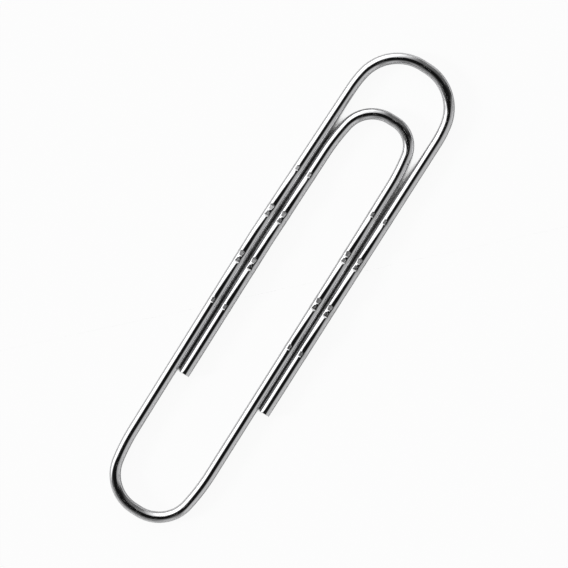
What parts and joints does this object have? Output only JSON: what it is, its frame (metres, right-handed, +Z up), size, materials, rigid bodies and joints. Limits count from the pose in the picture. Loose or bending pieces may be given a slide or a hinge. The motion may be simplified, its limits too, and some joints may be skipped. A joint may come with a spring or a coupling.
{
  "type": "paper clip",
  "caption": "Large bent-wire paper clip: a round steel wire with a long outer loop, a nested sprung tongue and pressed grip ridges, holding sheets between tongue and loop.",
  "frame": {"origin": "bottom centre of the clip's box, on the surface that it lies on", "axes": "+Y along the clip from its end bend to its outer bend, +Z up from the surface it lies on, +X across the legs from the outer leg to the outer free leg"},
  "size_m": [0.0108, 0.05, 0.0012],
  "materials": {
    "plated_wire": "bright plated drawn steel wire, polished, with faint drawing lines"
  },
  "bodies": {
    "outer_side": {"end_bend_outer_half": "plated_wire", "outer_leg_lower": "plated_wire", "outer_leg_ridged": "plated_wire", "outer_leg_upper": "plated_wire", "outer_bend_fixed_half": "plated_wire"},
    "outer_free_side": {"outer_bend_free_half": "plated_wire", "outer_free_leg_upper": "plated_wire", "outer_free_leg_ridged": "plated_wire", "outer_free_leg_lower": "plated_wire"},
    "tongue": {"end_bend_tongue_half": "plated_wire", "tongue_leg_lower": "plated_wire", "tongue_leg_ridged": "plated_wire", "tongue_leg_upper": "plated_wire", "tongue_bend_fixed_half": "plated_wire"},
    "tongue_free_side": {"tongue_bend_free_half": "plated_wire", "tongue_free_leg_upper": "plated_wire", "tongue_free_leg_ridged": "plated_wire", "tongue_free_leg_lower": "plated_wire"}
  },
  "joints": [
    {"name": "end_bend_twist", "type": "hinge", "parent": "outer_side", "child": "tongue", "pos_m": [-0.00036, -0.02448, 0.00052], "axis": [1, 0, 0], "range_deg": [0, 10], "stiffness_Nm_per_rad": 0.35},
    {"name": "outer_bend_twist", "type": "hinge", "parent": "outer_side", "child": "outer_free_side", "pos_m": [0.00012, 0.02448, 0.00052], "axis": [-1, 0, 0], "range_deg": [0, 8], "stiffness_Nm_per_rad": 0.4},
    {"name": "tongue_bend_twist", "type": "hinge", "parent": "tongue", "child": "tongue_free_side", "pos_m": [0.00029, 0.0187, 0.00052], "axis": [-1, 0, 0], "range_deg": [0, 8], "stiffness_Nm_per_rad": 0.5}
  ]
}
